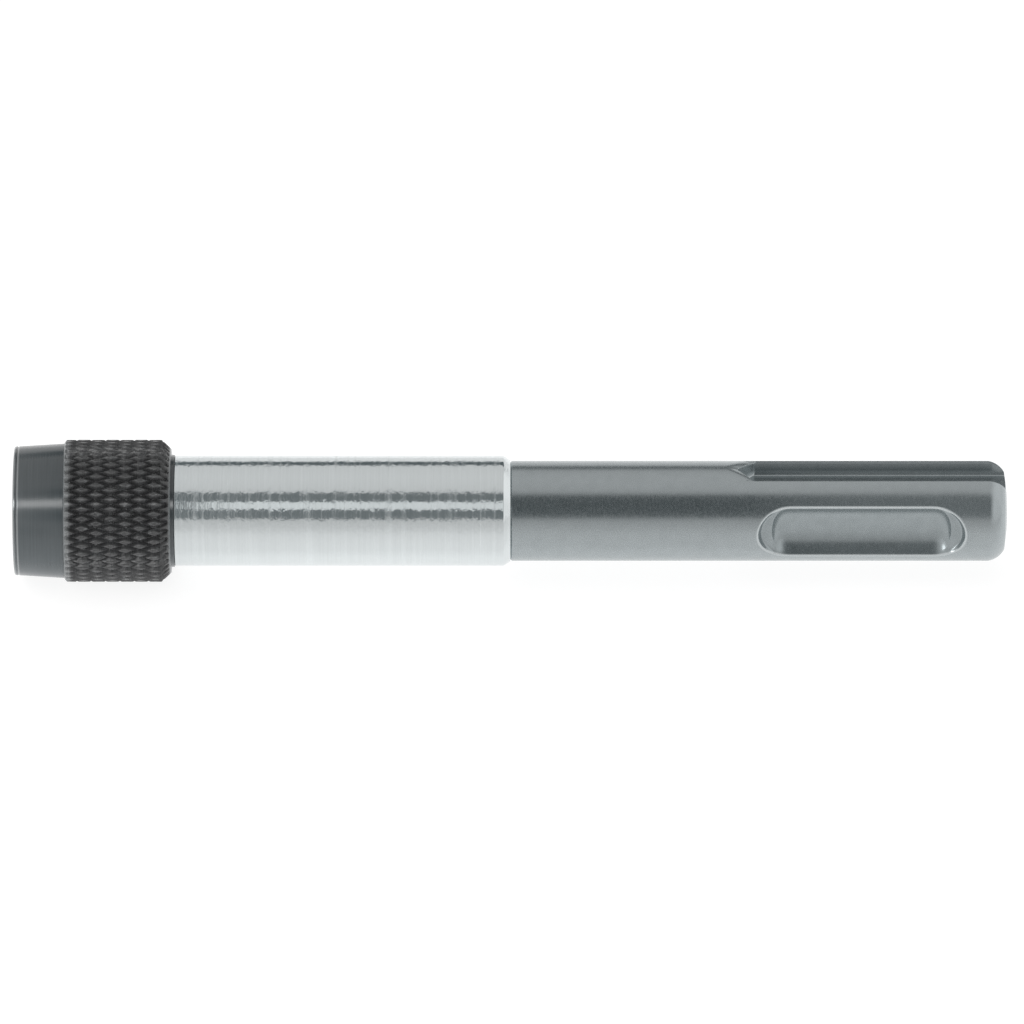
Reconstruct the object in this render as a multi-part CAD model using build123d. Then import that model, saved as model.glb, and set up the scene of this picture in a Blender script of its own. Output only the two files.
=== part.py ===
from build123d import *
import math
import os

# Quick-release holder for quarter-inch hex bits, on a 10 mm hammer-drill shank with two drive
# grooves and two lock pockets. Millimetres. The axis of the holder is X: the hex socket's mouth
# is at the origin, the collar is at the low end and the shank's tip at the high end.

# Hex bit, and how it sits in the socket
BIT_FLATS = 6.35
SOCKET_PLAY = 0.05
BIT_GROOVE_FROM_END = 9.5
SOCKET_LEAD_IN = 0.75

# Sleeve: a thin neck under the collar, then the bright barrel
NECK_D = 9.0
NECK_CHAMFER = 0.3
SLEEVE_D = 11.0
SLEEVE_LENGTH = 49.05
SLEEVE_FRONT_CHAMFER = 0.15
SLEEVE_REAR_CHAMFER_AXIAL = 0.68
SLEEVE_REAR_CHAMFER_RADIAL = 0.47
REAR_BORE_D = 7.5

# Shank, with a spigot pressed into the sleeve's rear bore
SHANK_D = 10.0
SHANK_LENGTH = 49.55
SHANK_SHOULDER_CHAMFER = 0.15
SPIGOT_CHAMFER = 0.5
TIP_ROUND_LENGTH = 1.8
TIP_ROUND_RADIUS = 2.2
TIP_FACE_D = 7.8
TIP_FACE_LENGTH = 0.22
TIP_FLAT_D = 4.4

# Open drive grooves, from their pointed inner end to the tip
GROOVE_LENGTH = 27.7
GROOVE_FLOOR_WIDTH = 3.0
GROOVE_FLOOR_RADIUS = 3.27
GROOVE_WALL_DRAFT = 19.0
GROOVE_POINT_ANGLE = 90.0
GROOVE_POINT_ROUND = 0.6

# Closed lock pockets: a shallow recess with a ledge at each end, and a deeper trough in it
POCKET_LENGTH = 20.7
POCKET_FROM_TIP = 4.2
POCKET_RADIUS = 4.2
POCKET_FLOOR_RADIUS = 3.1
POCKET_END_ROUND = 1.9
LEDGE_RADIUS = 4.1
LEDGE_LENGTH = 1.0
LEDGE_WIDTH = 5.24
LEDGE_WALL_DRAFT = 20.0

# Magnet behind the socket, in a brass bush
MAGNET_D = 5.2
MAGNET_LENGTH = 4.0
MAGNET_RECESS = 0.1
MAGNET_CHAMFER = 0.2

# Locking balls
BALL_D = 2.0
BALL_COUNT = 3
BALL_X = 9.0
BALL_PLAY = 0.04
BALL_HOLE_PLAY = 0.05
BALL_SEAT_ANGLE = 20.0
RELEASE_MARGIN = 0.03

# Collar
COLLAR_LENGTH = 16.0
COLLAR_OVERHANG = 0.5
COLLAR_TRAVEL = 2.2
LOCK_CONE_SLOPE = 0.26
NOSE_LENGTH = 5.03
NOSE_FRONT_D = 12.85
NOSE_REAR_D = 13.45
NOSE_EDGE_CHAMFER = 0.12
BAND_D = 14.2
BAND_FRONT_CHAMFER = 0.2
BAND_CHAMFER_AXIAL = 0.95
BAND_CHAMFER_RADIAL = 0.92
REAR_RIM_D = 11.2
REAR_RIM_LENGTH = 0.35
LOCK_LAND_LENGTH = 1.0
GUIDE_LAND_LENGTH = 2.9
RELIEF_LENGTH = 1.0
SPRING_CHAMBER_D = 10.7

# Diamond knurl on the collar's band: flat-topped teeth between two hands of grooves
KNURL_STARTS = 45
KNURL_PERIOD = 2.87
KNURL_DEPTH = 0.36
KNURL_FLAT = 0.5
KNURL_FIRST_ROW = 0.46

# Retaining ring and washer at the front of the neck
RING_X = 1.1
RING_WIRE = 0.6
RING_OPENING_ANGLE = 30.0
WASHER_THICKNESS = 0.6
WASHER_PLAY = 0.1

# Collar spring
SPRING_WIRE_D = 0.5
SPRING_TURNS = 5
SPRING_RUNS_PER_TURN = 18
SPRING_WIRE_SIDES = 8

# Fits
RUNNING_FIT = 0.05
FACE_GAP = 0.02
GLUE_GAP = 0.02
PRESS_FIT = 0.01

socket_flats = BIT_FLATS + SOCKET_PLAY
socket_corners = socket_flats / math.cos(math.radians(30))
socket_depth = BALL_X + BIT_GROOVE_FROM_END
neck_r = NECK_D / 2
sleeve_r = SLEEVE_D / 2
rear_bore_r = REAR_BORE_D / 2
shank_r = SHANK_D / 2
tip_x = SLEEVE_LENGTH + SHANK_LENGTH
collar_front_x = -COLLAR_OVERHANG
collar_rear_x = COLLAR_LENGTH - COLLAR_OVERHANG
shoulder_x = collar_rear_x + FACE_GAP
bush_rear_x = socket_depth + MAGNET_RECESS + MAGNET_LENGTH

ball_r = BALL_D / 2
ball_lift = COLLAR_TRAVEL * LOCK_CONE_SLOPE
ball_rest_r = socket_flats / 2 + RELEASE_MARGIN + ball_r - ball_lift
lock_cone_angle = math.atan(LOCK_CONE_SLOPE)
cone_r_at_ball = ball_rest_r + (ball_r + BALL_PLAY) / math.cos(lock_cone_angle)

collar_bore_r = neck_r + RUNNING_FIT
lock_land_rear_x = BALL_X - (cone_r_at_ball - collar_bore_r) / LOCK_CONE_SLOPE
lock_land_front_x = lock_land_rear_x - LOCK_LAND_LENGTH
guide_land_front_x = collar_rear_x - GUIDE_LAND_LENGTH
relief_front_x = guide_land_front_x - RELIEF_LENGTH
relief_r = cone_r_at_ball + LOCK_CONE_SLOPE * (relief_front_x - BALL_X)
spring_chamber_r = SPRING_CHAMBER_D / 2

ring_centre_r = neck_r
washer_front_x = RING_X + RING_WIRE / 2 + FACE_GAP
washer_rear_x = washer_front_x + WASHER_THICKNESS
washer_outer_r = spring_chamber_r - WASHER_PLAY


def turned(points):
    """A solid of revolution about X from (x, radius) corners."""
    return revolve(make_face(Polyline(*points, close=True)), Axis.X)


def rod(x0, x1, radius):
    """A round bar along X."""
    return Plane((x0, 0, 0), z_dir=(1, 0, 0)) * Cylinder(
        radius, x1 - x0, align=(Align.CENTER, Align.CENTER, Align.MIN)
    )


def ball_angles():
    """The directions of the balls about X, from +Y. Each is square to one flat of the hex."""
    return [90 + i * 360 / BALL_COUNT for i in range(BALL_COUNT)]


def hex_socket():
    """The hex hole with two flats facing up and down, and a cone that leads the bit in."""
    outline = Plane((0, 0, 0), z_dir=(1, 0, 0), x_dir=(0, 1, 0)) * RegularPolygon(
        socket_corners / 2, 6
    )
    hole = extrude(outline, socket_depth + MAGNET_RECESS)
    mouth_r = socket_flats / 2 + SOCKET_LEAD_IN
    lead_in = turned([(-1, 0), (-1, mouth_r + 1), (mouth_r, 0)])
    return hole + lead_in


def ball_hole(angle):
    """A radial hole with a tapered seat that keeps the ball from falling into the socket."""
    taper = math.radians(BALL_SEAT_ANGLE)
    hole_r = ball_r + BALL_HOLE_PLAY
    r_at_centre = (ball_r + BALL_PLAY) / math.cos(taper)
    inner = socket_flats / 4
    seat_end = ball_rest_r - (r_at_centre - hole_r) / math.tan(taper)
    inner_r = r_at_centre - (ball_rest_r - inner) * math.tan(taper)
    profile = Polyline(
        (0, inner), (inner_r, inner), (hole_r, seat_end), (hole_r, sleeve_r), (0, sleeve_r),
        close=True,
    )
    return Rot(angle, 0, 0) * Pos(BALL_X, 0, 0) * revolve(make_face(profile), Axis.Y)


def holder_body():
    """The sleeve: neck, shoulder and bright barrel, bored from behind for magnet and spigot."""
    rear_r = sleeve_r - SLEEVE_REAR_CHAMFER_RADIAL
    outside = turned([
        (0, 0),
        (0, neck_r - NECK_CHAMFER),
        (NECK_CHAMFER, neck_r),
        (shoulder_x, neck_r),
        (shoulder_x, sleeve_r - SLEEVE_FRONT_CHAMFER),
        (shoulder_x + SLEEVE_FRONT_CHAMFER, sleeve_r),
        (SLEEVE_LENGTH - SLEEVE_REAR_CHAMFER_AXIAL, sleeve_r),
        (SLEEVE_LENGTH, rear_r),
        (SLEEVE_LENGTH, 0),
    ])
    ring_groove_r = ring_centre_r - RING_WIRE / 2 - FACE_GAP
    half_groove = RING_WIRE / 2 + FACE_GAP
    groove_x0 = RING_X - half_groove
    groove_x1 = RING_X + half_groove
    ring_groove = rod(groove_x0, groove_x1, sleeve_r) - rod(groove_x0, groove_x1, ring_groove_r)
    body = outside - hex_socket() - rod(socket_depth, SLEEVE_LENGTH + 1, rear_bore_r) - ring_groove
    for angle in ball_angles():
        body -= ball_hole(angle)
    return body


def drive_groove(side):
    """One open groove: a drafted channel with a pointed inner end, cut in from the tip."""
    floor_half = GROOVE_FLOOR_WIDTH / 2
    half_point = math.radians(GROOVE_POINT_ANGLE / 2)
    spread = (shank_r - GROOVE_FLOOR_RADIUS) * math.tan(math.radians(GROOVE_WALL_DRAFT))
    rounded_off = GROOVE_POINT_ROUND * (1 / math.sin(half_point) - 1)
    point_x = tip_x - GROOVE_LENGTH + spread - rounded_off
    shoulder_x = point_x + floor_half / math.tan(half_point)
    plan = make_face(Polyline(
        (point_x, 0),
        (shoulder_x, floor_half),
        (tip_x + 1, floor_half),
        (tip_x + 1, -floor_half),
        (shoulder_x, -floor_half),
        close=True,
    ))
    plan = fillet(plan.vertices().sort_by(Axis.X)[0], GROOVE_POINT_ROUND)
    cutter = extrude(
        Plane((0, 0, GROOVE_FLOOR_RADIUS)) * plan,
        amount=shank_r,
        taper=-GROOVE_WALL_DRAFT,
    )
    return cutter if side > 0 else Rot(180, 0, 0) * cutter


def lock_pocket(side):
    """One closed pocket: a drafted recess, and in it the trough that the chuck's ball rides in."""
    wall_spread = (shank_r - LEDGE_RADIUS) * math.tan(math.radians(LEDGE_WALL_DRAFT))
    ledge_x0 = tip_x - POCKET_FROM_TIP - POCKET_LENGTH + wall_spread
    ledge_x1 = tip_x - POCKET_FROM_TIP - wall_spread
    plan = SlotOverall(ledge_x1 - ledge_x0, LEDGE_WIDTH)
    middle = Plane(((ledge_x0 + ledge_x1) / 2, LEDGE_RADIUS, 0), x_dir=(1, 0, 0), z_dir=(0, 1, 0))
    recess = extrude(middle * plan, amount=shank_r, taper=-LEDGE_WALL_DRAFT)

    centre_r = POCKET_FLOOR_RADIUS + POCKET_RADIUS
    above_ledge = POCKET_END_ROUND - (LEDGE_RADIUS - POCKET_FLOOR_RADIUS)
    end_at_ledge = POCKET_END_ROUND - math.sqrt(POCKET_END_ROUND**2 - above_ledge**2)
    trough_x0 = ledge_x0 + LEDGE_LENGTH - end_at_ledge
    trough_x1 = ledge_x1 - LEDGE_LENGTH + end_at_ledge
    trough = rod(trough_x0, trough_x1, POCKET_RADIUS)
    trough = fillet(trough.edges().filter_by(GeomType.CIRCLE), POCKET_END_ROUND)
    pocket = recess + Pos(0, centre_r, 0) * trough
    return pocket if side > 0 else Rot(180, 0, 0) * pocket


def sds_shank():
    """The shank: spigot, plain bearing stretch, two drive grooves and two lock pockets."""
    spigot_r = rear_bore_r + PRESS_FIT
    start_x = bush_rear_x + FACE_GAP
    face_x = tip_x - TIP_FACE_LENGTH
    face_r = TIP_FACE_D / 2
    outline = Polyline(
        (face_x, face_r),
        (tip_x, TIP_FLAT_D / 2),
        (tip_x, 0),
        (start_x, 0),
        (start_x, spigot_r - SPIGOT_CHAMFER),
        (start_x + SPIGOT_CHAMFER, spigot_r),
        (SLEEVE_LENGTH, spigot_r),
        (SLEEVE_LENGTH, shank_r - SHANK_SHOULDER_CHAMFER),
        (SLEEVE_LENGTH + SHANK_SHOULDER_CHAMFER, shank_r),
        (tip_x - TIP_ROUND_LENGTH, shank_r),
    )
    nose = RadiusArc((tip_x - TIP_ROUND_LENGTH, shank_r), (face_x, face_r), TIP_ROUND_RADIUS)
    bar = revolve(make_face(outline + nose), Axis.X)
    for side in (1, -1):
        bar -= lock_pocket(side)
        bar -= drive_groove(side)
    return bar


def magnet_bush():
    """The brass bush that holds the magnet at the end of the socket."""
    ring = rod(socket_depth, bush_rear_x, rear_bore_r - GLUE_GAP)
    return ring - rod(socket_depth, bush_rear_x, MAGNET_D / 2 + GLUE_GAP)


def bit_magnet():
    """The magnet, just below the bush's face so that the bit strikes the bush."""
    magnet = rod(socket_depth + MAGNET_RECESS, bush_rear_x, MAGNET_D / 2)
    rims = magnet.edges().filter_by(GeomType.CIRCLE)
    return chamfer(rims, MAGNET_CHAMFER)


def many_sided(points, sides):
    """A bar along X with flat sides all round, from its (x, radius at the corners) outline."""
    rings = []
    for x, radius in points:
        turns = [math.radians((n + 0.5) * 360 / sides) for n in range(sides)]
        rings.append([Vector(x, radius * math.cos(a), radius * math.sin(a)) for a in turns])
    faces = [Face(Wire.make_polygon(rings[0])), Face(Wire.make_polygon(rings[-1]))]
    for here, after in zip(rings, rings[1:]):
        for n in range(sides):
            side = [here[n - 1], here[n], after[n], after[n - 1]]
            faces.append(Face(Wire.make_polygon(side)))
    return Solid(Shell(faces))


def knurl_tooth():
    """The corners of one tooth, as (along, outwards, around) from the axis beside its middle.
    The four flanks are planes: each holds two corners of the groove and one end of the flat top."""
    half_step = math.pi / KNURL_STARTS
    reach = KNURL_PERIOD / 2
    root_r = BAND_D / 2 - KNURL_DEPTH
    top_r = BAND_D / 2 * math.cos(half_step * KNURL_FLAT)
    end = Vector(reach, root_r, 0)
    side = Vector(0, root_r * math.cos(half_step), root_r * math.sin(half_step))
    top_end = Vector(reach * KNURL_FLAT, top_r, 0)
    flank = (side - end).cross(top_end - end)
    half_top = (flank.X * reach - flank.Y * (top_r - root_r)) / flank.Z
    return end, side, top_end, Vector(0, top_r, half_top)


def knurled_bar(first_x, last_x):
    """A bar whose whole surface is diamond knurl: rows of teeth, every other row set over by half
    a tooth. The first and last rows are half teeth, so that the bar's ends are flat."""
    end, side, top_end, top_side = knurl_tooth()
    half_step = 180 / KNURL_STARTS
    rows = math.ceil((last_x - first_x) / (KNURL_PERIOD / 2))
    faces = []
    for row in range(rows + 1):
        x = first_x + row * KNURL_PERIOD / 2
        ahead = row < rows
        behind = row > 0
        rim = []
        for number in range(KNURL_STARTS):
            place = Pos(x, 0, 0) * Rot((2 * number + (row + 1) % 2) * half_step, 0, 0)

            def corner(point, along, around):
                return (place * Pos(point.X * along, point.Y, point.Z * around)).position

            for along in ([1] if ahead else []) + ([-1] if behind else []):
                for around in (1, -1):
                    flank = [
                        corner(end, along, around),
                        corner(side, along, around),
                        corner(top_side, along, around),
                        corner(top_end, along, around),
                    ]
                    faces.append(Face(Wire.make_polygon(flank)))
            top = [corner(top_side, 1, 1)]
            if ahead:
                top.append(corner(top_end, 1, 1))
            top.append(corner(top_side, 1, -1))
            if behind:
                top.append(corner(top_end, -1, 1))
            faces.append(Face(Wire.make_polygon(top)))
            rim += [corner(side, 1, -1), corner(top_side, 1, -1), corner(top_side, 1, 1)]
        if row in (0, rows):
            faces.append(Face(Wire.make_polygon(rim)))
    return Solid(Shell(faces))


def release_collar():
    """The collar: a knurled bar cut to its chamfers, with the turned nose and the inside. The
    chamfers have two flats to a tooth, so that every edge on the knurl is straight."""
    nose_end_x = collar_front_x + NOSE_LENGTH
    rim_x = collar_rear_x - REAR_RIM_LENGTH
    rim_r = REAR_RIM_D / 2
    band_r = BAND_D / 2
    shoulder_r = band_r - BAND_CHAMFER_RADIAL
    above = BAND_CHAMFER_RADIAL
    first_row = nose_end_x + KNURL_FIRST_ROW - KNURL_PERIOD / 2
    limits = many_sided([
        (nose_end_x, band_r - BAND_FRONT_CHAMFER),
        (nose_end_x + BAND_FRONT_CHAMFER + above, band_r + above),
        (rim_x - 2 * BAND_CHAMFER_AXIAL, band_r + above),
        (rim_x, shoulder_r),
    ], 2 * KNURL_STARTS)
    nose = turned([
        (nose_end_x + KNURL_PERIOD, 0),
        (collar_front_x, 0),
        (collar_front_x, NOSE_FRONT_D / 2 - NOSE_EDGE_CHAMFER),
        (collar_front_x + NOSE_EDGE_CHAMFER, NOSE_FRONT_D / 2),
        (nose_end_x, NOSE_REAR_D / 2),
        (nose_end_x + KNURL_PERIOD, spring_chamber_r),
    ])
    blank = (knurled_bar(first_row, collar_rear_x + KNURL_PERIOD / 2) & limits) + nose
    blank += rod(rim_x - BAND_CHAMFER_AXIAL, collar_rear_x, rim_r)
    inside = turned([
        (collar_rear_x + 1, 0),
        (collar_rear_x + 1, collar_bore_r),
        (collar_rear_x, collar_bore_r),
        (guide_land_front_x, collar_bore_r),
        (guide_land_front_x, relief_r),
        (relief_front_x, relief_r),
        (lock_land_rear_x, collar_bore_r),
        (lock_land_front_x, collar_bore_r),
        (lock_land_front_x, spring_chamber_r),
        (collar_front_x, spring_chamber_r),
        (collar_front_x - 1, spring_chamber_r + 1),
        (collar_front_x - 1, 0),
    ])
    return blank - inside


def collar_spring():
    """The compression spring, its two ends ground flat against the washer and the land. The wire
    is drawn as short straight runs with flat sides, which keeps the coil light."""
    length = lock_land_front_x - washer_rear_x
    mean_r = (neck_r + spring_chamber_r) / 2
    runs = SPRING_TURNS * SPRING_RUNS_PER_TURN
    step = 2 * math.pi / SPRING_RUNS_PER_TURN
    path = Polyline([
        (mean_r * math.cos(i * step), mean_r * math.sin(i * step), length * i / runs)
        for i in range(runs + 1)
    ])
    wire = Plane(path @ 0, z_dir=path % 0) * RegularPolygon(SPRING_WIRE_D / 2, SPRING_WIRE_SIDES)
    coil = sweep(wire, path, transition=Transition.RIGHT)
    slab = Cylinder(mean_r * 2, length, align=(Align.CENTER, Align.CENTER, Align.MIN))
    return Plane((washer_rear_x, 0, 0), z_dir=(1, 0, 0)) * (coil & slab)


def spring_washer():
    """The washer that carries the spring's front end and guides the collar."""
    ring = rod(washer_front_x, washer_rear_x, washer_outer_r)
    return ring - rod(washer_front_x, washer_rear_x, neck_r + RUNNING_FIT)


def retaining_ring():
    """The open ring of square wire in its groove, in front of the washer."""
    section = Pos(RING_X, ring_centre_r) * Rectangle(RING_WIRE, RING_WIRE)
    return revolve(section, Axis.X, 360 - RING_OPENING_ANGLE)


def locking_ball(angle):
    """One ball at rest, standing into the socket."""
    return Rot(angle, 0, 0) * Pos(BALL_X, ball_rest_r, 0) * Sphere(ball_r)


pieces = {
    "holder_body": holder_body(),
    "sds_shank": sds_shank(),
    "magnet_bush": magnet_bush(),
    "bit_magnet": bit_magnet(),
    "release_collar": release_collar(),
    "collar_spring": collar_spring(),
    "spring_washer": spring_washer(),
    "retaining_ring": retaining_ring(),
}
for number, angle in enumerate(ball_angles(), 1):
    pieces[f"locking_ball_{number}"] = locking_ball(angle)

os.makedirs("parts", exist_ok=True)
for name, piece in pieces.items():
    export_step(piece, f"parts/{name}.step")
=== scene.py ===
import math

import bmesh
import bpy
import numpy as np
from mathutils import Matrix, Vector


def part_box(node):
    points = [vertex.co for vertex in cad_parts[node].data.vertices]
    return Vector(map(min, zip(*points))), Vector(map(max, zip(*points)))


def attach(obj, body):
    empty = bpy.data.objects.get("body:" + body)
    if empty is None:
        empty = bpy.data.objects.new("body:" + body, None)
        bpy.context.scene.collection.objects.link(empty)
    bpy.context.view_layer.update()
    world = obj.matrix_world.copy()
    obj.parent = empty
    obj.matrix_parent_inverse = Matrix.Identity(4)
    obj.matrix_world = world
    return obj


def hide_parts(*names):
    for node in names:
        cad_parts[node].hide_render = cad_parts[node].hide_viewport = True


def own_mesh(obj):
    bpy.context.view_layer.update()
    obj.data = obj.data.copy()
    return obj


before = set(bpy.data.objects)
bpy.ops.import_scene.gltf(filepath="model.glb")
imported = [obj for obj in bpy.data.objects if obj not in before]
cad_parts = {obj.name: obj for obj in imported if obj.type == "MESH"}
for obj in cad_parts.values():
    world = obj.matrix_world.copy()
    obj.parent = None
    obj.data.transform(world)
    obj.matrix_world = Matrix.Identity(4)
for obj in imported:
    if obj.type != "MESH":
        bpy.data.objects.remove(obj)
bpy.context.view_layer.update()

MM = 0.001

# The photo's frame: 10 pixels to the millimetre, with the socket's mouth at pixel 20
PHOTO_WIDTH_MM = 102.4
VIEW_CENTRE_X = 49.2
VIEW_CENTRE_DOWN = 0.12
CAMERA_DISTANCE = 1100.0
CAMERA_ELEVATION = 30.6
CAMERA_NEAR = 50.0
CAMERA_FAR = 50000.0
SENSOR_MM = 36.0

# Boxes of the frame's nodes, in metres. The lengths below are in millimetres, unless they say.
COLLAR_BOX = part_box("release_collar")
BODY_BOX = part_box("holder_body")
SHANK_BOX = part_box("sds_shank")
WASHER_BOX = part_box("spring_washer")
RING_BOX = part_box("retaining_ring")
MAGNET_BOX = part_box("bit_magnet")
BUSH_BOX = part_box("magnet_bush")

# Outlines
COLLAR_X0 = COLLAR_BOX[0][0] / MM
COLLAR_X1 = COLLAR_BOX[1][0] / MM
BAND_R = COLLAR_BOX[1][2] / MM
SLEEVE_R = BODY_BOX[1][2] / MM
SLEEVE_X1 = BODY_BOX[1][0] / MM
TIP_X = SHANK_BOX[1][0] / MM
SHANK_R = SHANK_BOX[1][2] / MM
RING_X = (RING_BOX[0][0] + RING_BOX[1][0]) / 2 / MM
RING_HALF = (RING_BOX[1][0] - RING_BOX[0][0]) / 2 / MM

# Collar: the nose, with a fine turned line as (along, depth) from the line's middle
NOSE_FRONT_R = 6.425
NOSE_REAR_R = 6.725
NOSE_X1 = COLLAR_X0 + 5.03
NOSE_EDGE = 0.16
NOSE_LINE_X = COLLAR_X0 + 0.38
NOSE_LINE = ((-0.11, 0), (-0.09, 0.01), (0, 0.06), (0.09, 0.01), (0.11, 0))
NOSE_ROOT_LENGTH = 0.05
NOSE_ROOT_DROP = 0.003

# Collar: the knurled band
BAND_CHAMFER_X = COLLAR_X1 - 1.3
BAND_EDGE = 0.2
BAND_EDGE_STEPS = (0.0, 0.03, 0.07, 0.12, 0.16, 0.2, 0.24)
RIM_X = COLLAR_X1 - 0.35
RIM_R = 6.18
RIM_EDGE = 0.06
LIP_R = 5.6
KNURL_STARTS = 45
KNURL_PERIOD = 2.87
KNURL_FIRST_ROW = 0.46
KNURL_DEPTH = 0.47
KNURL_FLAT = 0.60
KNURL_GROOVE_BLEND = 0.10
KNURL_CREST_BLEND = 0.03
KNURL_END_X = COLLAR_X1 - 0.46
KNURL_RUN_OUT = 0.25
KNURL_RUN_IN = 0.5
KNURL_FIRST_DEPTH = 0.2
KNURL_COLUMNS = 16
KNURL_ROWS = 16

# Collar: the inside
BORE_R = 4.55
BORE_CHAMFER = 0.2
CHAMBER_R = 5.35
CHAMBER_CHAMFER = 0.25
LAND_FRONT_X = 7.3
LAND_REAR_X = 8.3
RELIEF_FRONT_X = 11.6
RELIEF_REAR_X = 12.6
RELIEF_R = 5.409

# Sleeve
NECK_R = 4.5
NECK_CHAMFER = 0.3
NECK_EDGE = 0.06
SHOULDER_X = 15.52
SHOULDER_CHAMFER = 0.06
REAR_CHAMFER_LENGTH = 0.68
REAR_CHAMFER_DEPTH = 0.47
RING_PLAY = 0.02
SOCKET_FLATS = 6.4
SOCKET_DEPTH = 18.5
LEAD_IN = 0.75
REAR_BORE_R = 3.75

# Lock
BALL_X = 9.0
BALL_R = 1.0
BALL_REST_R = 3.658
BALL_ANGLES = (90, 210, 330)
HOLE_PLAY = 0.05
SEAT_PLAY = 0.04
SEAT_TAPER = math.radians(20)

# Small pieces
SPRING_WIRE_R = 0.25
SPRING_TURNS = 5.0
RING_OPENING = math.radians(30)
RING_EDGE = 0.07
RING_END_SIZE = 0.86
FLAT_RING_EDGE = 0.08
BUSH_BORE_R = 2.62
MAGNET_CHAMFER = 0.2
MAGNET_EDGE = 0.04

# Shank
SHANK_X0 = SLEEVE_X1
SHANK_RAYS = 66
SEAM_CHAMFER = 0.15
SPIGOT_R = 3.76
TIP_ROUND_X = 1.8
TIP_ROUND_R = 2.2
TIP_FACE_X = 0.22
TIP_FACE_R = 3.9
TIP_FLAT_R = 2.2

# Drive grooves
GROOVE_X0 = TIP_X - 27.7
GROOVE_HALF_FLOOR = 1.5
GROOVE_FLOOR_Z = 3.27
GROOVE_WALL_Y0 = 1.2
GROOVE_WALL_Y1 = 2.08
GROOVE_SPAN = 2.25
GROOVE_DRAFT = math.radians(19.0)
GROOVE_END_DRAFT = math.radians(9.0)
GROOVE_END_BEVEL = 0.6
GROOVE_BEVEL_SLOPE = 0.35
GROOVE_BEVEL_BLEND = 0.1
GROOVE_POINT_ROUND = 0.2
GROOVE_CORNER_BLEND = 0.5
GROOVE_FLOOR_BLEND = 0.5
GROOVE_END_BLEND = 0.6
GROOVE_END_REACH = 3.2
GROOVE_END_FADE = 1.5
GROOVE_RIM_BLEND = 0.12
GROOVE_FULL_R = 3.4

# Lock pockets
LEDGE_Y = 4.1
LEDGE_HALF = 2.62
LEDGE_DRAFT = math.radians(20.0)
LEDGE_X0 = TIP_X - 24.57
LEDGE_X1 = TIP_X - 4.53
LEDGE_FLOOR_BLEND = 0.3
LEDGE_BLEND = 0.14
TROUGH_R = 4.2
TROUGH_FLOOR = 3.1
TROUGH_X0 = LEDGE_X0 + 0.77
TROUGH_X1 = LEDGE_X1 - 0.77
TROUGH_END_ROUND = 2.4
TROUGH_END_POWER = 2.5
POCKET_RIM_BLEND = 0.28

# Finish and painted light: the ranges of radius, height and length over which the steel's colour
# changes, for painted shade in the pockets and on the grooves' walls and a painted highlight round
# the pockets' rims
SUNK_R = (4.85, 4.7)
SUNK_X = (TIP_X - 1.3, TIP_X - 1.5)
FACING_Z = (3.1, 2.9)
WALL_Z = (GROOVE_FLOOR_Z + 0.3, GROOVE_FLOOR_Z + 0.5)
# Painted highlight round the pockets' rims: its ranges of radius and length
RIM_HIGHLIGHT_R = ((4.78, 4.86), (4.995, 4.965))
RIM_HIGHLIGHT_X = ((LEDGE_X0 - 1, LEDGE_X0 - 0.8), (LEDGE_X1 + 1, LEDGE_X1 + 0.8))

# Finish: where the band's coat starts and ends, and the share of bare metal along the collar
BAND_COAT_X = ((NOSE_X1, NOSE_X1 + 0.3), (RIM_X, RIM_X - 0.2))
BARE_METAL = (
    (COLLAR_X0, 0.9), (COLLAR_X0 + 0.12, 0.9), (COLLAR_X0 + 0.16, 0.1), (NOSE_LINE_X, 0.0),
    (NOSE_LINE_X + 0.02, 0.55), (NOSE_LINE_X + 0.11, 0.55), (NOSE_LINE_X + 0.2, 0.0),
    (NOSE_X1 + 0.04, 0.0), (NOSE_X1 + 0.14, 0.32), (NOSE_X1 + 0.45, 0.32), (NOSE_X1 + 0.7, 0.0),
    (RIM_X - 0.2, 0.0), (RIM_X - 0.08, 0.18), (RIM_X - 0.01, 0.18), (RIM_X + 0.02, 0.0),
)

# Finish: the depth of the relief, in metres
NICKEL_RELIEF = 0.000032
STEEL_RELIEF = 0.000004
BLACK_RELIEF = 0.00003
PLAIN_RELIEF = 0.000002

# Light: the levels that gloss and diffuse surfaces meet, where 1 is white
LEFT_GLOSS = 0.9
LEFT_SHARE = 0.75
RIGHT_SHARE = 0.8
SOFT_LEFT = 2.2
SOFT_RIGHT = 0.3

# Light: how far a ray points to the left or right where each level starts and is full
LEFT_SPAN = (0.15, 0.5)
RIGHT_SPAN = (0.40, 0.65)
SOFT_SPAN = (-0.6, 0.9)

# Cards that gloss sees round the object: the angle about X, up from the front, and the level
CARDS = (
    (0, 0.58), (11, 0.54), (16, 0.11), (32, 0.10), (66, 0.10), (71, 0.58), (80, 0.62), (105, 0.65),
    (140, 0.62), (144, 0.12), (156, 0.12), (159, 0.78), (180, 0.82),
)
DARK_CARD = 0.2
DARK_TINT = (0.88, 1.03, 1.08)

# Floor: the level that gloss sees in it, by the share of its reach in front of the object
FLOOR_HALF = 3000.0
FLOOR_Z = -BAND_R
FLOOR_MATT = 0.2
FLOOR_GLOW = 0.87
FLOOR_BOUNCE = 2.6
FLOOR_REACH = 100
FLOOR_FALL = ((0.0, 0.80), (0.05, 0.77), (0.085, 0.64), (0.16, 0.57), (0.4, 0.44), (0.9, 0.38))

# Lamps: the ends along X, the angle about it, the distance, the opening angle and the level
LAMPS = {
    "nose": ((-120, 60), 43, 100, 12, 3.7),
    "sleeve": ((14, 60), 40.5, 40, 15.5, 0.55),
    "sleeve_fill": ((-40, 90), 40.5, 60, 49, 0.07),
    "shank_fill": ((78, 140), 40.5, 40, 49, 0.11),
    "pocket_glint": ((-80, -10), 28, 100, 12, 6.0),
}


# Meshes

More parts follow.
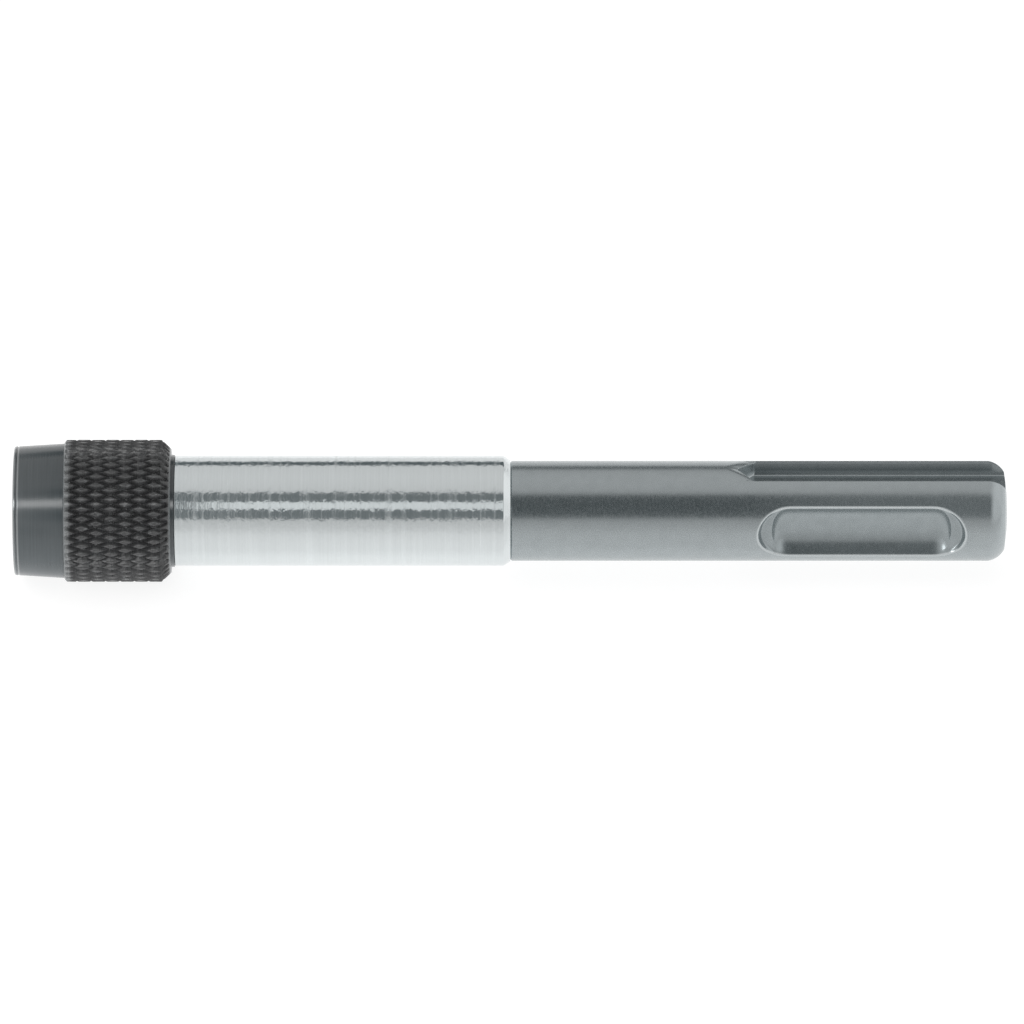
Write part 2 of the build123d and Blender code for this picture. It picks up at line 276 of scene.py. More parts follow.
def mesh_object(name, points, faces, sharp=30.0):
    """A new object from points in millimetres, with smooth shading and sharp creases."""
    mesh = bpy.data.meshes.new(name)
    mesh.from_pydata([tuple(p) for p in np.asarray(points) * MM], [], [tuple(f) for f in faces])
    obj = bpy.data.objects.new(name, mesh)
    bpy.context.collection.objects.link(obj)
    tidy(obj, sharp)
    return obj


def tidy(obj, sharp=30.0):
    """Merges doubled points, drops slivers, turns the faces outwards and sets the shading."""
    bm = bmesh.new()
    bm.from_mesh(obj.data)
    bmesh.ops.remove_doubles(bm, verts=bm.verts, dist=1e-7)
    bmesh.ops.dissolve_degenerate(bm, edges=bm.edges, dist=1e-8)
    bmesh.ops.recalc_face_normals(bm, faces=bm.faces)
    bm.to_mesh(obj.data)
    bm.free()
    obj.data.shade_smooth()
    obj.data.set_sharp_from_angle(angle=math.radians(sharp))


def rounded(corners, steps=5):
    """An outline of (x, r) points from corners of (x, r, rounding)."""
    points = []
    last = len(corners) - 1
    for i, (x, r, size) in enumerate(corners):
        here = np.array((x, r))
        if size <= 0 or i in (0, last):
            points.append(here)
            continue
        before = np.array(corners[i - 1][:2])
        after = np.array(corners[i + 1][:2])
        start = here + (before - here) / np.linalg.norm(before - here) * size
        end = here + (after - here) / np.linalg.norm(after - here) * size
        for t in np.linspace(0, 1, steps):
            points.append((1 - t) ** 2 * start + 2 * t * (1 - t) * here + t**2 * end)
    return points


def grid_faces(rows, columns, closed):
    """Quads between neighbouring rings of points. If closed, the last ring joins the first."""
    faces = []
    for i in range(rows if closed else rows - 1):
        j = (i + 1) % rows
        for k in range(columns):
            n = (k + 1) % columns
            faces.append((i * columns + k, i * columns + n, j * columns + n, j * columns + k))
    return faces


def tube_faces(rows, columns):
    """The faces of a tube of rings, with a cap at each end."""
    first = tuple(reversed(range(columns)))
    last = tuple((rows - 1) * columns + k for k in range(columns))
    return [*grid_faces(rows, columns, False), last, first]


def revolved(x, r, angles):
    """Points in rings about X, from arrays of x and r that have a row for each ring."""
    return np.stack([x, r * np.cos(angles), r * np.sin(angles)], axis=2).reshape(-1, 3)


def even_angles(count):
    """A full turn's angles, evenly spaced."""
    return np.arange(count) * 2 * math.pi / count


def lathe(name, outline, segments=256, closed=False):
    """A surface of revolution about X. A closed outline comes back to its first point."""
    outline = np.array(outline)
    x = np.repeat(outline[:, 0:1], segments, axis=1)
    points = revolved(x, outline[:, 1:2], even_angles(segments))
    return mesh_object(name, points, grid_faces(len(outline), segments, closed))


def cut(target, *cutters):
    """Takes the cutters away from the target and deletes them."""
    for cutter in cutters:
        change = target.modifiers.new("cut", "BOOLEAN")
        change.operation = "DIFFERENCE"
        change.solver = "EXACT"
        change.object = cutter
    graph = bpy.context.evaluated_depsgraph_get()
    result = bpy.data.meshes.new_from_object(target.evaluated_get(graph))
    target.modifiers.clear()
    target.data = result
    for cutter in cutters:
        bpy.data.objects.remove(cutter)
    tidy(target)


def soft_min(a, b, blend):
    """The smaller of two values, rounded off where they are within the blend of each other."""
    gap = np.clip(blend - np.abs(a - b), 0, None)
    return np.minimum(a, b) - gap**2 / (4 * blend)


def soft_max(a, b, blend):
    """The larger of two values, rounded off where they are within the blend of each other."""
    return -soft_min(-a, -b, blend)


# Collar

def nose_outline():
    """The collar's front face and tapered nose, up to the band."""
    nose = rounded([
        (COLLAR_X0, CHAMBER_R + CHAMBER_CHAMFER, 0),
        (COLLAR_X0, NOSE_FRONT_R, NOSE_EDGE),
        (NOSE_X1, NOSE_REAR_R, 0),
    ], 9)
    taper = (NOSE_REAR_R - NOSE_FRONT_R) / (NOSE_X1 - COLLAR_X0)
    line_r = NOSE_FRONT_R + (NOSE_LINE_X - COLLAR_X0) * taper
    line = [(NOSE_LINE_X + forward, line_r - depth) for forward, depth in NOSE_LINE]
    root = (NOSE_X1 - NOSE_ROOT_LENGTH, NOSE_REAR_R - NOSE_ROOT_DROP)
    return [*nose[:-1], *line, root, nose[-1]]


def knurl_height(u, v):
    """Height of a flat-topped diamond knurl from 0 in its grooves to 1 on its teeth.
    u counts starts round the band, and v counts periods along it."""
    def ridge(phase):
        return 1 - np.abs(2 * np.mod(phase, 1.0) - 1)
    low = soft_min(ridge(u + v), ridge(u - v), KNURL_GROOVE_BLEND) / KNURL_FLAT
    soft = np.hypot(np.clip(1 - low, 0, None), KNURL_CREST_BLEND)
    return 1 + KNURL_CREST_BLEND - soft


def band_stations():
    """Where the knurl's rings lie: even along the band, and closer at its front edge."""
    steps = int(round((RIM_X - NOSE_X1) / (KNURL_PERIOD / KNURL_ROWS))) * 2
    even = np.linspace(NOSE_X1, RIM_X, steps)
    edge = NOSE_X1 + np.array(BAND_EDGE_STEPS)
    x = np.unique(np.concatenate([even, edge, [BAND_CHAMFER_X, KNURL_END_X, RIM_X]]))
    return x[x < RIM_X - RIM_EDGE]


def band_radius(x, u):
    """The band's radius round one ring: real grooves, which run out on the rear chamfer."""
    chamfer = (BAND_R - RIM_R) / (RIM_X - BAND_CHAMFER_X)
    crest = min(BAND_R, BAND_R - (x - BAND_CHAMFER_X) * chamfer, BAND_R - BAND_EDGE + x - NOSE_X1)
    depth = KNURL_DEPTH * min(1.0, max(0.0, (KNURL_END_X - x) / KNURL_RUN_OUT))
    depth *= min(1.0, max(KNURL_FIRST_DEPTH, (x - NOSE_X1) / KNURL_RUN_IN))
    height = knurl_height(u, (x - NOSE_X1 - KNURL_FIRST_ROW) / KNURL_PERIOD + 0.5)
    teeth = (crest if x > BAND_CHAMFER_X else BAND_R) - depth * (1 - height)
    r = np.minimum(teeth, crest)
    return np.maximum(r, NOSE_REAR_R) if x < NOSE_X1 + 0.01 else r


def collar():
    """The collar: nose, knurled band, rear rims and the inside, as one closed outline of rings."""
    columns = KNURL_STARTS * KNURL_COLUMNS
    u = np.arange(columns) / KNURL_COLUMNS
    rear = rounded([
        (BAND_CHAMFER_X, BAND_R, 0),
        (RIM_X, RIM_R, 0.07),
        (RIM_X, LIP_R + 0.01, 0.03),
        (COLLAR_X1, LIP_R, 0.05),
        (COLLAR_X1, BORE_R + BORE_CHAMFER, 0),
    ])[2:]
    inside = [
        (COLLAR_X1 - BORE_CHAMFER, BORE_R),
        (RELIEF_REAR_X, BORE_R),
        (RELIEF_REAR_X, RELIEF_R),
        (RELIEF_FRONT_X, RELIEF_R),
        (LAND_REAR_X, BORE_R),
        (LAND_FRONT_X, BORE_R),
        (LAND_FRONT_X, CHAMBER_R),
        (COLLAR_X0 + CHAMBER_CHAMFER, CHAMBER_R),
    ]
    band = [(x, band_radius(x, u)) for x in band_stations()]
    rings = [*nose_outline(), *band, *rear, *inside]
    x = np.array([np.full(columns, ring_x) for ring_x, _ in rings])
    r = np.array([np.broadcast_to(ring_r, columns) for _, ring_r in rings])
    faces = grid_faces(len(rings), columns, True)
    return mesh_object("knurled_collar", revolved(x, r, even_angles(columns)), faces, 50)


# Sleeve

def sleeve():
    """The sleeve: the bright barrel, and the neck with its ring groove, ball holes and socket."""
    half_groove = RING_HALF + RING_PLAY
    groove_r = NECK_R - half_groove
    body = lathe("sleeve", rounded([
        (0, 0, 0),
        (0, NECK_R - NECK_CHAMFER, NECK_EDGE),
        (NECK_CHAMFER, NECK_R, NECK_EDGE),
        (RING_X - half_groove, NECK_R, 0),
        (RING_X - half_groove, groove_r, 0),
        (RING_X + half_groove, groove_r, 0),
        (RING_X + half_groove, NECK_R, 0),
        (SHOULDER_X, NECK_R, 0),
        (SHOULDER_X, SLEEVE_R - SHOULDER_CHAMFER, 0.02),
        (SHOULDER_X + SHOULDER_CHAMFER, SLEEVE_R, 0.03),
        (SLEEVE_X1 - REAR_CHAMFER_LENGTH, SLEEVE_R, 0.08),
        (SLEEVE_X1, SLEEVE_R - REAR_CHAMFER_DEPTH, 0.03),
        (SLEEVE_X1, 0, 0),
    ]), 320)
    corner = SOCKET_FLATS / 2 / math.cos(math.radians(30))
    hexagon = lathe("hex", rod_outline(-1, SOCKET_DEPTH + 0.1, corner), 6)
    mouth_r = SOCKET_FLATS / 2 + LEAD_IN
    lead_in = lathe("lead_in", [(-1, 0), (-1, mouth_r + 1), (mouth_r, 0)], 96)
    bore = lathe("bore", rod_outline(SOCKET_DEPTH, SLEEVE_X1 + 1, REAR_BORE_R), 96)
    cut(body, hexagon, lead_in, bore, *[ball_hole(angle) for angle in BALL_ANGLES])
    return body


def rod_outline(x0, x1, r):
    """A plain rod's outline."""
    return [(x0, 0), (x0, r), (x1, r), (x1, 0)]


def ball_hole(angle):
    """A radial cutter for one ball's hole, with the tapered seat that keeps the ball in."""
    hole_r = BALL_R + HOLE_PLAY
    at_centre = (BALL_R + SEAT_PLAY) / math.cos(SEAT_TAPER)
    inner = SOCKET_FLATS / 4
    inner_r = at_centre - (BALL_REST_R - inner) * math.tan(SEAT_TAPER)
    seat_end = BALL_REST_R - (at_centre - hole_r) / math.tan(SEAT_TAPER)
    outline = [(inner, 0), (inner, inner_r), (seat_end, hole_r), (SLEEVE_R, hole_r), (SLEEVE_R, 0)]
    hole = lathe("hole", outline, 64)
    turn = math.radians(angle)
    for vertex in hole.data.vertices:
        out, side, forward = vertex.co
        vertex.co = (
            BALL_X * MM + forward,
            out * math.cos(turn) - side * math.sin(turn),
            out * math.sin(turn) + side * math.cos(turn),
        )
    return hole


# Shank

def groove_rows():
    """Distances from the middle of a drive groove, close together on its wall."""
    return np.concatenate([
        np.linspace(0, GROOVE_WALL_Y0, 18)[:-1],
        np.linspace(GROOVE_WALL_Y0, GROOVE_WALL_Y1, 36),
        np.linspace(GROOVE_WALL_Y1, GROOVE_SPAN, 5)[1:],
    ])


def groove_section(x, radius):
    """Half of one drive groove's section, from its middle to the bar's surface, as (y, z) points.
    The groove has drafted side walls, and a pointed inner end with a slower slope and a soft
    floor. It narrows with the bar near the tip."""
    y = groove_rows() * min(1.0, radius / GROOVE_FULL_R)
    surface = np.sqrt(radius**2 - y**2)
    side = (y - GROOVE_HALF_FLOOR) / math.tan(GROOVE_DRAFT)
    point = np.sqrt(y**2 + GROOVE_POINT_ROUND**2) - GROOVE_POINT_ROUND
    inside = (x - GROOVE_X0 - point) / math.sqrt(2)
    above = surface - GROOVE_FLOOR_Z
    bevel = above - GROOVE_BEVEL_SLOPE * inside
    steep = above - (inside - GROOVE_END_BEVEL) / math.tan(GROOVE_END_DRAFT)
    steep -= GROOVE_BEVEL_SLOPE * GROOVE_END_BEVEL
    wall = soft_max(side, soft_min(bevel, steep, GROOVE_BEVEL_BLEND), GROOVE_CORNER_BLEND)
    near_end = min(1.0, max(0.0, (GROOVE_X0 + GROOVE_END_REACH - x) / GROOVE_END_FADE))
    blend = GROOVE_FLOOR_BLEND + (GROOVE_END_BLEND - GROOVE_FLOOR_BLEND) * near_end
    height = GROOVE_FLOOR_Z + soft_max(wall, np.zeros(len(y)), blend)
    return np.stack([y, soft_min(surface, height, GROOVE_RIM_BLEND)], axis=1)


def bar_radius(x):
    """The shank's outer radius at a station, with the seam's chamfer and the rounded tip."""
    from_seam = x - SHANK_X0
    if from_seam < SEAM_CHAMFER:
        return SHANK_R - SEAM_CHAMFER + from_seam
    to_tip = TIP_X - x
    if to_tip > TIP_ROUND_X:
        return SHANK_R
    if to_tip < TIP_FACE_X:
        return TIP_FLAT_R + (TIP_FACE_R - TIP_FLAT_R) * to_tip / TIP_FACE_X
    length = TIP_ROUND_X - TIP_FACE_X
    drop = SHANK_R - TIP_FACE_R
    chord = math.hypot(length, drop)
    offset = math.sqrt(TIP_ROUND_R**2 - chord**2 / 4)
    centre_x = (TIP_ROUND_X + TIP_FACE_X) / 2 + offset * drop / chord
    centre_r = (SHANK_R + TIP_FACE_R) / 2 - offset * length / chord
    return centre_r + math.sqrt(max(TIP_ROUND_R**2 - (to_tip - centre_x) ** 2, 0))


def past_end(x, x0, x1):
    """How far a place is past the nearer end of a range. It is negative inside the range."""
    return abs(x - (x0 + x1) / 2) - (x1 - x0) / 2


def pocketed(x, angle, radius):
    """The bar's radius along rays, where the lock pocket lowers it: a shallow recess with a ledge
    at each end, and in it a deeper trough with rounded ends. Every rim is softened."""
    low = np.full(angle.shape, 1.0)
    high = np.full(angle.shape, float(radius) + 0.01)
    past = max(past_end(x, LEDGE_X0, LEDGE_X1) + LEDGE_HALF, 0)
    end = past_end(x, TROUGH_X0, TROUGH_X1) + TROUGH_END_ROUND
    for _ in range(30):
        r = (low + high) / 2
        y = r * np.cos(angle)
        z = r * np.sin(angle)
        plan = np.hypot(past, z) - LEDGE_HALF - (y - LEDGE_Y) * math.tan(LEDGE_DRAFT)
        recess = soft_max(plan * math.cos(LEDGE_DRAFT), LEDGE_Y - y, LEDGE_FLOOR_BLEND)
        side = np.hypot(y - TROUGH_FLOOR - TROUGH_R, z) - TROUGH_R + TROUGH_END_ROUND
        corner = max(end, 0) ** TROUGH_END_POWER + np.clip(side, 0, None) ** TROUGH_END_POWER
        trough = corner ** (1 / TROUGH_END_POWER) + np.minimum(np.maximum(end, side), 0)
        trough -= TROUGH_END_ROUND
        pocket = soft_max(-recess, -trough, LEDGE_BLEND)
        outside = soft_max(r - radius, pocket, POCKET_RIM_BLEND) > 0
        high = np.where(outside, r, high)
        low = np.where(outside, low, r)
    return (low + high) / 2


def shank_stations():
    """Where the shank's sections lie: close together at edges, ends and the tip."""
    round_x = TIP_X - TIP_ROUND_X
    parts = [
        SHANK_X0 + np.array([0.0, 0.02, 0.13, SEAM_CHAMFER, 0.17, 0.3]),
        np.linspace(SHANK_X0 + 1, GROOVE_X0 - 0.8, 24),
        np.arange(GROOVE_X0 - 0.5, LEDGE_X0 - 0.6, 0.05),
        np.arange(LEDGE_X0 - 0.6, LEDGE_X0 + 3.2, 0.06),
        np.linspace(LEDGE_X0 + 3.3, LEDGE_X1 - 3.3, 26),
        np.arange(LEDGE_X1 - 3.2, LEDGE_X1 + 0.6, 0.06),
        np.linspace(LEDGE_X1 + 0.8, round_x - 0.06, 10),
        round_x + np.array([-0.03, 0.0, 0.03]),
        round_x + (TIP_ROUND_X - TIP_FACE_X) * np.sin(np.linspace(0.04, math.pi / 2, 30)),
        np.linspace(TIP_X - TIP_FACE_X + 0.01, TIP_X, 14),
    ]
    return np.unique(np.round(np.concatenate(parts), 5))


def shank():
    """The shank: rings of sections that hold the grooves and pockets, from seam to tip."""
    rings = []
    for x in shank_stations():
        radius = bar_radius(x)
        groove = groove_section(x, radius)
        rim = math.atan2(groove[-1][1], groove[-1][0])
        angle = np.linspace(rim, 0, SHANK_RAYS)[1:]
        r = pocketed(x, angle, radius)
        pocket = np.stack([r * np.cos(angle), r * np.sin(angle)], axis=1)
        quarter = np.concatenate([groove, pocket])
        half = np.concatenate([quarter, quarter[::-1][1:] * (1, -1)])
        ring = np.concatenate([half, half[::-1][1:-1] * (-1, 1)])
        rings.append(np.column_stack([np.full(len(ring), x), ring]))
    columns = len(rings[0])
    seam = rings[0][:, 1:]
    spigot = seam / np.linalg.norm(seam, axis=1, keepdims=True) * SPIGOT_R
    rings.insert(0, np.column_stack([np.full(columns, SHANK_X0), spigot]))
    return mesh_object("slotted_shank", np.concatenate(rings), tube_faces(len(rings), columns), 32)


# Small pieces

def spring():
    """The coil spring, with its two ends ground flat."""
    x0 = WASHER_BOX[1][0] / MM
    x1 = LAND_FRONT_X
    mean_r = (NECK_R + CHAMBER_R) / 2
    steps = 360
    sides = 16
    points = []
    for i in range(steps + 1):
        t = i / steps
        angle = 2 * math.pi * SPRING_TURNS * t
        out = np.array((0, math.cos(angle), math.sin(angle)))
        centre = np.array((x0 + (x1 - x0) * t, 0, 0)) + mean_r * out
        for k in range(sides):
            s = 2 * math.pi * k / sides
            p = centre + SPRING_WIRE_R * (math.cos(s) * out + math.sin(s) * np.array((1, 0, 0)))
            p[0] = min(max(p[0], x0), x1)
            points.append(p)
    return mesh_object("coil_spring", points, tube_faces(steps + 1, sides), 40)


def wire_ring():
    """The open retaining ring, a square wire with softened edges."""
    steps = 160
    soft = RING_HALF - RING_EDGE
    turns = np.linspace(0, math.pi / 2, 4)
    corner = [(soft + RING_EDGE * math.cos(t), soft + RING_EDGE * math.sin(t)) for t in turns]
    section = [(c * a - s * b, s * a + c * b)
               for c, s in ((1, 0), (0, 1), (-1, 0), (0, -1)) for a, b in corner]
    points = []
    for i in range(steps + 1):
        angle = (2 * math.pi - RING_OPENING) * i / steps
        size = RING_END_SIZE if i in (0, steps) else 1.0
        for across, out in section:
            r = NECK_R + size * out
            points.append((RING_X + size * across, r * math.cos(angle), r * math.sin(angle)))
    return mesh_object("wire_ring", points, tube_faces(steps + 1, len(section)), 40)


def flat_ring(name, box, inner):
    """A ring of rectangular section with softened edges, on the box of its node."""
    x0 = box[0][0] / MM
    x1 = box[1][0] / MM
    outer = box[1][2] / MM
    outline = rounded([
        ((x0 + x1) / 2, inner, 0),
        (x0, inner, FLAT_RING_EDGE),
        (x0, outer, FLAT_RING_EDGE),
        (x1, outer, FLAT_RING_EDGE),
        (x1, inner, FLAT_RING_EDGE),
        ((x0 + x1) / 2, inner, 0),
    ])[:-1]
    return lathe(name, outline, 192, closed=True)


def magnet():
    """The magnet, a short rod with chamfered rims."""
    x0 = MAGNET_BOX[0][0] / MM
    x1 = MAGNET_BOX[1][0] / MM
    r = MAGNET_BOX[1][2] / MM
    outline = rounded([
        (x0, 0, 0),
        (x0, r - MAGNET_CHAMFER, MAGNET_EDGE),
        (x0 + MAGNET_CHAMFER, r, MAGNET_EDGE),
        (x1 - MAGNET_CHAMFER, r, MAGNET_EDGE),
        (x1, r - MAGNET_CHAMFER, MAGNET_EDGE),
        (x1, 0, 0),
    ])
    return lathe("magnet_rod", outline, 128)


def ball(number, angle):
    """One polished locking ball."""
    arc = np.linspace(0, math.pi, 33)
    outline = [(-BALL_R * math.cos(t), BALL_R * math.sin(t)) for t in arc]
    obj = lathe(f"polished_ball_{number}", outline, 48)
    turn = math.radians(angle)
    centre = (BALL_X * MM, BALL_REST_R * math.cos(turn) * MM, BALL_REST_R * math.sin(turn) * MM)
    for vertex in obj.data.vertices:
        vertex.co = [a + b for a, b in zip(vertex.co, centre)]
    return obj


# Nodes of materials and light. A value is a socket or a number.

def node(tree, kind, **values):
    """A new node with its settings and input values given by name."""
    made = tree.nodes.new(kind)
    for key, value in values.items():
        if hasattr(made, key):
            setattr(made, key, value)
        else:
            made.inputs[key].default_value = value
    return made


def feed(tree, value, socket):
    """Gives a socket its value: a link from another socket, or a number of its own."""
    if isinstance(value, (int, float)):
        socket.default_value = value
    else:
        tree.links.new(value, socket)


def maths(tree, operation, *values):
    """The outcome of an operation on one value or two."""
    made = node(tree, "ShaderNodeMath", operation=operation)
    for value, socket in zip(values, made.inputs):
        feed(tree, value, socket)
    return made.outputs[0]


def product(tree, first, *others):
    """The product of values."""
    for other in others:
        first = maths(tree, "MULTIPLY", first, other)
    return first


def total(tree, a, b):
    """The sum of two values."""
    return maths(tree, "ADD", a, b)


def spread(tree, value, low, high, to_low=0.0, to_high=1.0):
    """A value's range, clamped and mapped to another."""
    limits = {"From Min": low, "From Max": high, "To Min": to_low, "To Max": to_high}
    made = node(tree, "ShaderNodeMapRange", **limits)
    feed(tree, value, made.inputs["Value"])
    return made.outputs["Result"]


def window(tree, value, rise, fall):
    """1 between two ranges, over which it rises from 0 and falls back to it."""
    return product(tree, spread(tree, value, *rise), spread(tree, value, *fall))


def grey(value):
    """A grey colour."""
    return (value, value, value)


def ramp(tree, value, stops):
    """A colour ramp of stops, each a place from 0 to 1 and a colour, fed by a value."""
    made = node(tree, "ShaderNodeValToRGB")
    band = made.color_ramp
    while len(band.elements) > 1:
        band.elements.remove(band.elements[-1])
    for i, (place, colour) in enumerate(stops):
        element = band.elements[0] if i == 0 else band.elements.new(place)
        element.position = place
        element.color = (*colour, 1)
    tree.links.new(value, made.inputs["Fac"])
    return made.outputs["Color"]


def varied(tree, noise, low, high):
    """A colour that goes from low to high over a noise's usual range."""
    return ramp(tree, noise, [(0.3, low), (0.7, high)])


def blend_colours(tree, factor, first, second):
    """A mix of two colours, each a socket or a tuple."""
    made = node(tree, "ShaderNodeMix", data_type="RGBA")
    tree.links.new(factor, made.inputs[0])
    for colour, socket in ((first, made.inputs[6]), (second, made.inputs[7])):
        feed_colour(tree, colour, socket)
    return made.outputs[2]


def feed_colour(tree, colour, socket):
    """Gives a socket its colour: a link from another socket, or a colour of its own."""
    if isinstance(colour, tuple):
        socket.default_value = (*colour, 1)
    else:
        tree.links.new(colour, socket)


def stretched_noise(tree, scale, detail, roughness=0.5):
    """Noise on the object's own coordinates, in metres, stretched by a scale for each axis."""
    place = node(tree, "ShaderNodeTexCoord")
    size = node(tree, "ShaderNodeVectorMath", operation="MULTIPLY")
    size.inputs[1].default_value = scale
    noise = node(tree, "ShaderNodeTexNoise", Scale=1.0, Detail=detail, Roughness=roughness)
    tree.links.new(place.outputs["Object"], size.inputs[0])
    tree.links.new(size.outputs[0], noise.inputs["Vector"])
    return noise.outputs["Fac"]


def split_place(tree, kind):
    """The three coordinates of a place, of one of the kinds that the coordinate node gives."""
    place = node(tree, "ShaderNodeTexCoord")
    split = node(tree, "ShaderNodeSeparateXYZ")
    tree.links.new(place.outputs[kind], split.inputs[0])
    return split.outputs


def along(tree):
    """The place along the object's axis, in millimetres."""
    return product(tree, split_place(tree, "Object")["X"], 1 / MM)


def upright(tree):
    """The distance from the object's middle plane, up or down, in millimetres."""
    return maths(tree, "ABSOLUTE", product(tree, split_place(tree, "Object")["Z"], 1 / MM))


def off_axis(tree):
    """The distance from the object's axis, in millimetres."""
    place = node(tree, "ShaderNodeTexCoord")
    across = node(tree, "ShaderNodeVectorMath", operation="MULTIPLY")
    across.inputs[1].default_value = (0, 1 / MM, 1 / MM)
    length = node(tree, "ShaderNodeVectorMath", operation="LENGTH")
    tree.links.new(place.outputs["Object"], across.inputs[0])
    tree.links.new(across.outputs[0], length.inputs[0])
    return length.outputs["Value"]


def light(tree, kind, colour, strength=1.0):
    """A background or an emission of a colour, which is a socket or a tuple."""
    made = node(tree, kind, Strength=strength)
    feed_colour(tree, colour, made.inputs["Color"])
    return made.outputs[0]


def by_ray(tree, to_camera, to_gloss, to_rest):
    """One shader out of three: one for the camera's rays, one for gloss and one for the rest."""
    rays = node(tree, "ShaderNodeLightPath")
    shader = to_rest
    for kind, other in (("Is Glossy Ray", to_gloss), ("Is Camera Ray", to_camera)):
        mix = node(tree, "ShaderNodeMixShader")
        tree.links.new(rays.outputs[kind], mix.inputs[0])
        tree.links.new(shader, mix.inputs[1])
        tree.links.new(other, mix.inputs[2])
        shader = mix.outputs[0]
    return shader


# Materials

def new_material(name, metallic=1.0):
    """A material of one shader, which is returned with the material and its node tree."""
    material = bpy.data.materials.new(name)
    material.use_nodes = True
    tree = material.node_tree
    shader = tree.nodes["Principled BSDF"]
    shader.inputs["Metallic"].default_value = metallic
    return material, tree, shader


def finish(tree, shader, colour, roughness):
    """Links the shader's colour and roughness."""
    tree.links.new(colour, shader.inputs["Base Color"])
    tree.links.new(roughness, shader.inputs["Roughness"])


def bump(tree, shader, height, distance, strength=1.0):
    """Feeds a height, in metres of the given distance, to the shader's normal."""
    made = node(tree, "ShaderNodeBump", Strength=strength, Distance=distance)
    tree.links.new(height, made.inputs["Height"])
    tree.links.new(made.outputs["Normal"], shader.inputs["Normal"])


def bright_nickel():
    """Bright plate over fine turning marks and duller rings, which run round the sleeve. Faint
    ripples make the edges of what it mirrors waver."""
    material, tree, shader = new_material("bright_nickel")
    marks = stretched_noise(tree, (9000, 60, 60), 4, 0.65)
    rings = stretched_noise(tree, (1500, 30, 30), 3, 0.7)
    ripple = stretched_noise(tree, (1500, 900, 900), 3, 0.6)
    beads = stretched_noise(tree, (2300, 1500, 1500), 2)
    colour = varied(tree, marks, (0.755, 0.797, 0.803), (0.80, 0.842, 0.85))
    gloss = varied(tree, marks, grey(0.0), grey(0.04))
    dull = ramp(tree, rings, [(0.38, grey(0.07)), (0.5, grey(0.10)), (0.64, grey(0.24))])
    finish(tree, shader, colour, total(tree, gloss, dull))
    waves = total(tree, ripple, product(tree, beads, 0.6))
    bump(tree, shader, total(tree, product(tree, marks, 0.25), waves), NICKEL_RELIEF)
    return material


def satin_steel():
    """Ground and tumbled steel: even and soft, with a faint mottle. Painted shade makes it darker
    in the pockets and on the grooves' walls, and a painted highlight makes it bright round the
    pockets' rims."""
    material, tree, shader = new_material("satin_steel")
    mottle = stretched_noise(tree, (900, 900, 900), 6, 0.6)
    fine = stretched_noise(tree, (5200, 3200, 3200), 3, 0.6)
    ground = varied(tree, mottle, (0.395, 0.43, 0.44), (0.43, 0.467, 0.478))
    # Painted shade: darker steel colours for the pockets and for the grooves' walls
    pocket = varied(tree, mottle, (0.335, 0.37, 0.38), (0.375, 0.412, 0.423))
    groove = varied(tree, mottle, (0.265, 0.295, 0.305), (0.305, 0.338, 0.348))
    # Painted highlight: a brighter steel colour round the pockets' rims
    rim_highlight = (0.60, 0.64, 0.65)
    x = along(tree)
    r = off_axis(tree)
    height = upright(tree)
    facing = spread(tree, height, *FACING_Z)
    sunk = product(tree, spread(tree, r, *SUNK_R), spread(tree, x, *SUNK_X))
    # Where painted shade darkens the pockets and the grooves' walls
    pocket_shade = product(tree, sunk, facing)
    wall_shade = product(tree, sunk, spread(tree, height, *WALL_Z))
    # Where the painted highlight brightens the pockets' rims
    rim_highlight_mask = product(tree, window(tree, x, *RIM_HIGHLIGHT_X), facing, window(tree, r, *RIM_HIGHLIGHT_R))
    colour = ground
    for where, other in ((pocket_shade, pocket), (wall_shade, groove), (rim_highlight_mask, rim_highlight)):
        colour = blend_colours(tree, where, colour, other)
    finish(tree, shader, colour, varied(tree, fine, grey(0.22), grey(0.30)))
    bump(tree, shader, total(tree, mottle, fine), STEEL_RELIEF, 0.6)
    return material


def black_oxide():
    """Blackened steel: a dark, faintly blue-green coat, duller on the knurl, with bare metal
    showing along the turned edges and in specks on the teeth."""
    material, tree, shader = new_material("black_oxide", 0.0)
    x = along(tree)
    on_band = window(tree, x, *BAND_COAT_X)
    marks = stretched_noise(tree, (6000, 150, 150), 4, 0.6)
    specks = stretched_noise(tree, (1700, 2600, 2600), 2)
    nose = varied(tree, marks, (0.027, 0.034, 0.037), (0.036, 0.044, 0.048))
    teeth = ramp(tree, specks, [
        (0.35, (0.025, 0.025, 0.026)),
        (0.62, (0.034, 0.035, 0.036)),
        (0.72, (0.07, 0.073, 0.075)),
    ])
    coat = blend_colours(tree, on_band, nose, teeth)
    span = COLLAR_X1 - COLLAR_X0
    stops = [((at - COLLAR_X0) / span, grey(share)) for at, share in BARE_METAL]
    bare = ramp(tree, spread(tree, x, COLLAR_X0, COLLAR_X1), stops)
    gloss = varied(tree, marks, grey(0.17), grey(0.24))
    colour = blend_colours(tree, bare, coat, (0.36, 0.375, 0.38))
    finish(tree, shader, colour, total(tree, gloss, product(tree, on_band, 0.08)))
    tree.links.new(bare, shader.inputs["Metallic"])
    shader.inputs["IOR"].default_value = 1.7
    shine = spread(tree, on_band, 0, 1, 0.5, 0.42)
    tree.links.new(shine, shader.inputs["Specular IOR Level"])
    rough = total(tree, product(tree, marks, 0.1), product(tree, on_band, specks))
    bump(tree, shader, rough, BLACK_RELIEF)
    return material


def plain_metal(name, dark, light_tone, smooth, rough, scale):
    """A metal whose tone and gloss vary a little with fine noise."""
    material, tree, shader = new_material(name)
    marks = stretched_noise(tree, (scale, scale, scale), 4, 0.6)
    tone = varied(tree, marks, dark, light_tone)
    finish(tree, shader, tone, varied(tree, marks, grey(smooth), grey(rough)))
    bump(tree, shader, marks, PLAIN_RELIEF, 0.4)
    return material


# Camera, light and floor

